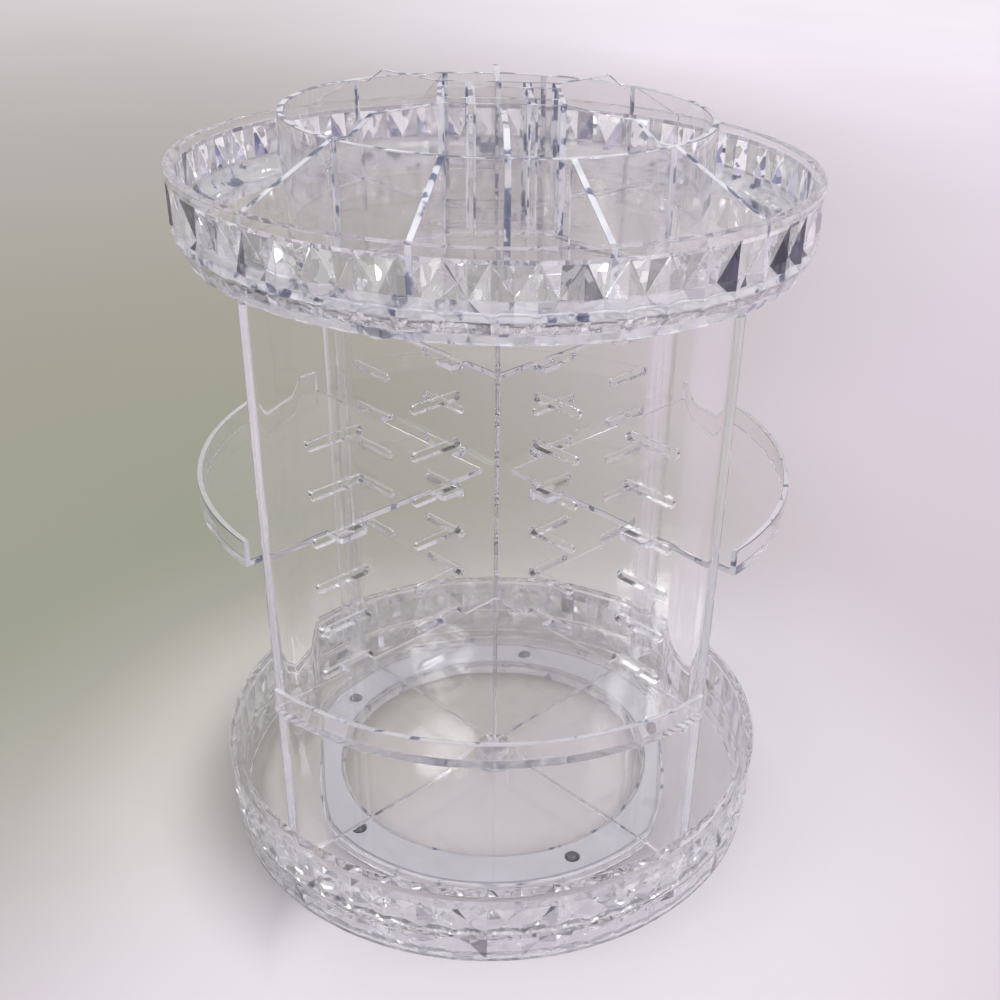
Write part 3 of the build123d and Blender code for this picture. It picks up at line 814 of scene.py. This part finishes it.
class ORGANIZER_OT_shelves(bpy.types.Operator):
    """Finish the quarter-round shelves"""
    bl_idname = "organizer.shelves"
    bl_label = "Hung Shelves"

    def execute(self, context):
        clear_pieces(SHELVES, RIM_ROUNDING)
        return {"FINISHED"}


class ORGANIZER_OT_top_tray(bpy.types.Operator):
    """Finish the top tray with its flared faceted rim"""
    bl_idname = "organizer.top_tray"
    bl_label = "Top Tray"

    def execute(self, context):
        clear_pieces(("top_tray",), LIP_ROUNDING, CUT_SMOOTH)
        return {"FINISHED"}


class ORGANIZER_OT_insert(bpy.types.Operator):
    """Finish the ring, its dividers and the brush holder"""
    bl_idname = "organizer.insert"
    bl_label = "Divider Insert"

    def execute(self, context):
        clear_pieces(("divider_ring",), RIM_ROUNDING, RING_SMOOTH)
        clear_pieces(DIVIDERS, EDGE_ROUNDING)
        return {"FINISHED"}


def paper_colour(tree, distance, side):
    """Colour of the paper by its distance from the object and its side: painted shade on the left and behind,
    where the object's shadow falls, and painted light on the right.
    """
    far = math_node(tree, -900, 300, "DIVIDE", distance, FAR_PAPER)
    left = colour_ramp(tree, -600, 300, SHADED_LEFT_PAPER)
    right = colour_ramp(tree, -600, 0, LIT_RIGHT_PAPER)
    tree.links.new(far, left.inputs["Fac"])
    tree.links.new(far, right.inputs["Fac"])
    near_end = blend(tree, -900, -200, distance, *MIDDLE_DISTANCE, RIGHT_SIDE_NEAR, RIGHT_SIDE_MIDDLE)
    far_end = blend(tree, -900, -450, distance, *FAR_DISTANCE, 0.0, RIGHT_SIDE_FAR)
    right_side = math_node(tree, -750, -350, "ADD", near_end, far_end)
    turn = blend(tree, -700, -300, side, LEFT_SIDE, right_side)
    return mix_colours(tree, -300, 100, turn, left.outputs["Color"], right.outputs["Color"])


def paper_shade(tree, place, forward, distance, side):
    """Painted share of light on the paper: clouds, the dark of the camera's side and the base's contact shadow.
    """
    # Painted dark floor on the camera's side, which the camera's straight rays don't see
    ahead = blend(tree, -700, -450, forward, *AHEAD, 1.0, AHEAD_SHADE)
    beyond = blend(tree, -700, -650, distance, *AHEAD_END)
    ahead = math_node(tree, -550, -500, "MAXIMUM", ahead, beyond)
    ahead = math_node(tree, -450, -450, "MAXIMUM", ahead, straight_view(tree, -1100, -900))
    cloud = add_node(tree, "ShaderNodeTexNoise", -900, -600)
    cloud.inputs["Scale"].default_value = 2.5
    cloud.inputs["Detail"].default_value = 1.0
    tree.links.new(place, cloud.inputs["Vector"])
    shade = math_node(tree, -600, -600, "MULTIPLY_ADD", cloud.outputs["Fac"], 0.08, 0.96)
    shade = math_node(tree, -400, -600, "MULTIPLY", shade, ahead)
    contact = blend(tree, -700, -800, distance, *CONTACT_DISTANCE, CONTACT_SHADE)
    lit_side = blend(tree, -700, -1050, side, *CONTACT_SIDE)
    under = blend(tree, -700, -1300, distance, *UNDER_BASE)
    contact = math_node(tree, -450, -900, "MAXIMUM", contact, lit_side)
    contact = math_node(tree, -350, -1000, "MAXIMUM", contact, under)
    return math_node(tree, -250, -750, "MULTIPLY", shade, contact)


def paper_material(name):
    """Pale paper, matt and lit near the object, and further off a glow of its colour with painted shade and
    light, for the camera's rays and reflections.
    """
    material, tree, shader, out = material_start(name)
    link = tree.links.new
    place = add_node(tree, "ShaderNodeTexCoord", -1500, 0)
    parts = add_node(tree, "ShaderNodeSeparateXYZ", -1300, 0)
    link(place.outputs["Object"], parts.inputs[0])
    flat = add_node(tree, "ShaderNodeCombineXYZ", -1300, 300)
    link(parts.outputs["X"], flat.inputs["X"])
    link(parts.outputs["Y"], flat.inputs["Y"])
    length = add_node(tree, "ShaderNodeVectorMath", -1100, 300, operation="LENGTH")
    link(flat.outputs[0], length.inputs[0])
    distance = length.outputs["Value"]
    aside = math_node(tree, -1050, 0, "SUBTRACT", parts.outputs["X"], parts.outputs["Y"])
    aside = math_node(tree, -1000, 0, "MULTIPLY", aside, math.sqrt(0.5))
    side = math_node(tree, -900, 0, "DIVIDE", aside, distance)
    tone = add_node(tree, "ShaderNodeVectorMath", -100, 0, operation="SCALE")
    link(paper_colour(tree, distance, side), tone.inputs[0])
    shade = paper_shade(tree, place.outputs["Object"], parts.outputs["Y"], distance, side)
    link(shade, tone.inputs["Scale"])
    link(tone.outputs[0], shader.inputs["Base Color"])
    shader.inputs["Roughness"].default_value = 0.9
    shader.inputs["Specular IOR Level"].default_value = 0.15
    # Painted light: the paper glows in its colour and painted shade, though it is no lamp
    glow = add_node(tree, "ShaderNodeEmission", 100, -300)
    link(tone.outputs[0], glow.inputs["Color"])
    rays = add_node(tree, "ShaderNodeLightPath", -300, -900)
    seen = math_node(tree, -100, -900, "ADD", rays.outputs["Is Camera Ray"], rays.outputs["Is Glossy Ray"])
    seen = math_node(tree, 50, -900, "ADD", seen, rays.outputs["Is Transmission Ray"])
    seen = math_node(tree, 200, -900, "MINIMUM", seen, 1.0)
    fade = blend(tree, -100, -600, distance, *PLAIN_DISTANCE)
    mix = add_node(tree, "ShaderNodeMixShader", 450, 0)
    link(math_node(tree, 200, -600, "MULTIPLY", seen, fade), mix.inputs["Fac"])
    link(shader.outputs["BSDF"], mix.inputs[1])
    link(glow.outputs["Emission"], mix.inputs[2])
    link(mix.outputs["Shader"], out.inputs["Surface"])
    return material


def soft_lamp(name, place, width, colour, power):
    """Round area lamp that looks at the object."""
    data = bpy.data.lights.new(name, "AREA")
    data.shape = "ELLIPSE"
    data.size = data.size_y = width
    data.energy = power
    data.color = colour
    lamp = bpy.data.objects.new(name, data)
    bpy.context.scene.collection.objects.link(lamp)
    lamp.location = place
    lamp.rotation_euler = (Vector(LAMP_TARGET) - Vector(place)).to_track_quat("-Z", "Y").to_euler()


def room_world(name):
    """Soft light of a room with dark and bright parts, in front of a pale background."""
    world = bpy.data.worlds.new(name)
    world.use_nodes = True
    tree = world.node_tree
    back = tree.nodes["Background"]
    link = tree.links.new
    place = add_node(tree, "ShaderNodeTexCoord", -1300, 0)
    parts = add_node(tree, "ShaderNodeSeparateXYZ", -1100, 0)
    link(place.outputs["Generated"], parts.inputs[0])
    towards = math_node(tree, -900, 200, "MULTIPLY", parts.outputs["Y"], -1.0)
    angle = math_node(tree, -700, 200, "ARCTAN2", parts.outputs["X"], towards)
    low = colour_ramp(tree, -300, 300, ROOM_ROUND)
    link(math_node(tree, -500, 200, "MULTIPLY_ADD", angle, 0.5 / math.pi, 0.5), low.inputs["Fac"])
    high = colour_ramp(tree, -300, 0, ROOM_UP)
    link(parts.outputs["Z"], high.inputs["Fac"])
    rise = blend(tree, -300, -300, parts.outputs["Z"], *ROOM_RISE)
    room = mix_colours(tree, 0, 200, rise, low.outputs["Color"], high.outputs["Color"])
    seen = mix_colours(tree, 200, 0, straight_view(tree, 0, -200), room, (*HORIZON, 1.0))
    link(seen, back.inputs["Color"])
    back.inputs["Strength"].default_value = 1.0
    return world


def photo_camera(name, lens):
    """Camera of the photo's view."""
    data = bpy.data.cameras.new(name)
    data.lens = lens
    data.sensor_width = SENSOR_WIDTH
    data.shift_x, data.shift_y = CAMERA_SHIFT
    data.clip_start, data.clip_end = CAMERA_CLIP
    camera = bpy.data.objects.new(name, data)
    bpy.context.scene.collection.objects.link(camera)
    yaw, pitch, roll = (math.radians(turn) for turn in (CAMERA_YAW, CAMERA_PITCH, CAMERA_ROLL))
    ahead = Vector((math.sin(yaw) * math.cos(pitch), math.cos(yaw) * math.cos(pitch), -math.sin(pitch)))
    right = Vector((math.cos(yaw), -math.sin(yaw), 0.0))
    down = ahead.cross(right)
    image_right = right * math.cos(roll) + down * math.sin(roll)
    image_down = down * math.cos(roll) - right * math.sin(roll)
    turn = Matrix((image_right, -image_down, -ahead)).transposed()
    camera.matrix_world = Matrix.Translation(CAMERA_PLACE) @ turn.to_4x4()
    return camera


class ORGANIZER_OT_stage(bpy.types.Operator):
    """Set the floor, the lamps, the room's light and the camera"""
    bl_idname = "organizer.stage"
    bl_label = "Stage"

    def execute(self, context):
        settings = context.scene.organizer_stage
        only()
        bpy.ops.mesh.primitive_plane_add(size=FLOOR_WIDTH, location=(0.0, 0.0, FLOOR_HEIGHT))
        floor = context.active_object
        floor.name = "pale_floor"
        bpy.ops.object.transform_apply(location=True)
        set_material(floor, paper_material("pale_paper"))
        soft_lamp("key_lamp", *KEY_LAMP, settings.key_power)
        soft_lamp("fill_lamp", *FILL_LAMP, settings.fill_power)
        for number, place in enumerate(SPARK_PLACES, start=1):
            soft_lamp(f"spark_lamp_{number}", place, SPARK_WIDTH, SPARK_COLOUR, settings.spark_power)
        context.scene.world = room_world("soft_room")
        context.scene.camera = photo_camera("photo_view", settings.lens)
        return {"FINISHED"}


class ORGANIZER_PT_pieces(bpy.types.Panel):
    """Buttons for the organizer's pieces and stage"""
    bl_label = "Organizer"
    bl_idname = "ORGANIZER_PT_pieces"
    bl_space_type = "VIEW_3D"
    bl_region_type = "UI"
    bl_category = "Organizer"

    def draw(self, context):
        layout = self.layout
        for settings in (context.scene.organizer_finish, context.scene.organizer_stage):
            for name in settings.bl_rna.properties.keys():
                if name not in ("rna_type", "name"):
                    layout.prop(settings, name)
        for operator in OPERATORS:
            layout.operator(operator.bl_idname)


OPERATORS = (
    ORGANIZER_OT_base,
    ORGANIZER_OT_bearing,
    ORGANIZER_OT_turning_tray,
    ORGANIZER_OT_panels,
    ORGANIZER_OT_shelves,
    ORGANIZER_OT_top_tray,
    ORGANIZER_OT_insert,
    ORGANIZER_OT_stage,
)
CLASSES = (OrganizerFinish, OrganizerStage) + OPERATORS + (ORGANIZER_PT_pieces,)


def register():
    for item in CLASSES:
        bpy.utils.register_class(item)
    bpy.types.Scene.organizer_finish = bpy.props.PointerProperty(type=OrganizerFinish)
    bpy.types.Scene.organizer_stage = bpy.props.PointerProperty(type=OrganizerStage)


def unregister():
    del bpy.types.Scene.organizer_stage
    del bpy.types.Scene.organizer_finish
    for item in reversed(CLASSES):
        bpy.utils.unregister_class(item)


def main():
    register()
    scene = bpy.context.scene
    scene.view_settings.view_transform = "Standard"
    for name in ("max_bounces", "transmission_bounces", "glossy_bounces"):
        setattr(scene.cycles, name, BOUNCES)
    scene.cycles.transparent_max_bounces = TRANSPARENT_BOUNCES
    bpy.ops.organizer.base()
    bpy.ops.organizer.bearing()
    bpy.ops.organizer.turning_tray()
    bpy.ops.organizer.panels()
    bpy.ops.organizer.shelves()
    bpy.ops.organizer.top_tray()
    bpy.ops.organizer.insert()
    bpy.ops.organizer.stage()


if __name__ == "__main__":
    main()
